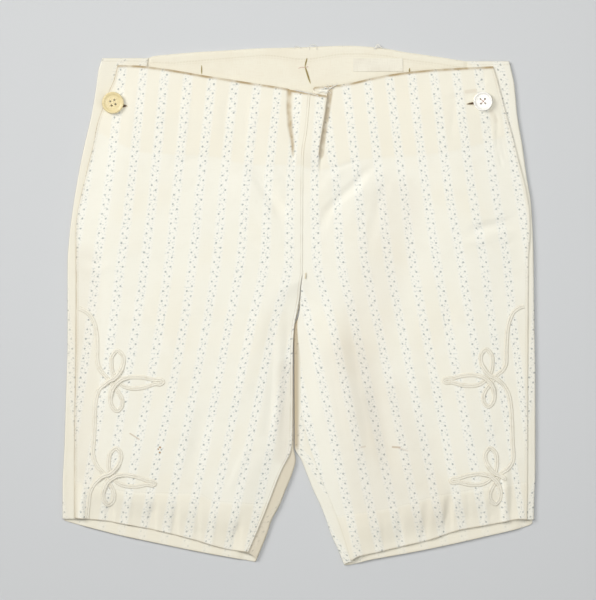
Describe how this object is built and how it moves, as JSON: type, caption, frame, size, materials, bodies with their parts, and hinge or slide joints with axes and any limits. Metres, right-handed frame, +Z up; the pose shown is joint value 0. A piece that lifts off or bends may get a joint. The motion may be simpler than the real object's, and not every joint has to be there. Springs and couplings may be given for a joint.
{
  "type": "knee breeches",
  "caption": "Cream cotton knee breeches laid flat, with a fall front buttoned at both hips and trefoil braid down each leg.",
  "frame": {"origin": "on the surface that the breeches lie on, under the middle of their outline", "axes": "+X towards the side with the white button, +Y towards the waist, +Z up out of the front"},
  "size_m": [0.3126, 0.3431, 0.0085],
  "materials": {
    "cotton": "matte striped cotton with small woven dots",
    "facing_cotton": "plain matte cotton",
    "tape_cotton": "twill tape",
    "braid_cotton": "two-ridged flat braid",
    "bone": "polished yellowed bone",
    "white_glaze": "white, softly glossy"
  },
  "bodies": {
    "root": {"back_left": "cotton", "back_right": "cotton", "front_left": "cotton", "front_right": "cotton", "waist_facing_back": "facing_cotton", "label_tape": "tape_cotton", "braid_left": "braid_cotton", "braid_right": "braid_cotton", "button_left": "bone", "button_right": "white_glaze"}
  },
  "joints": []
}
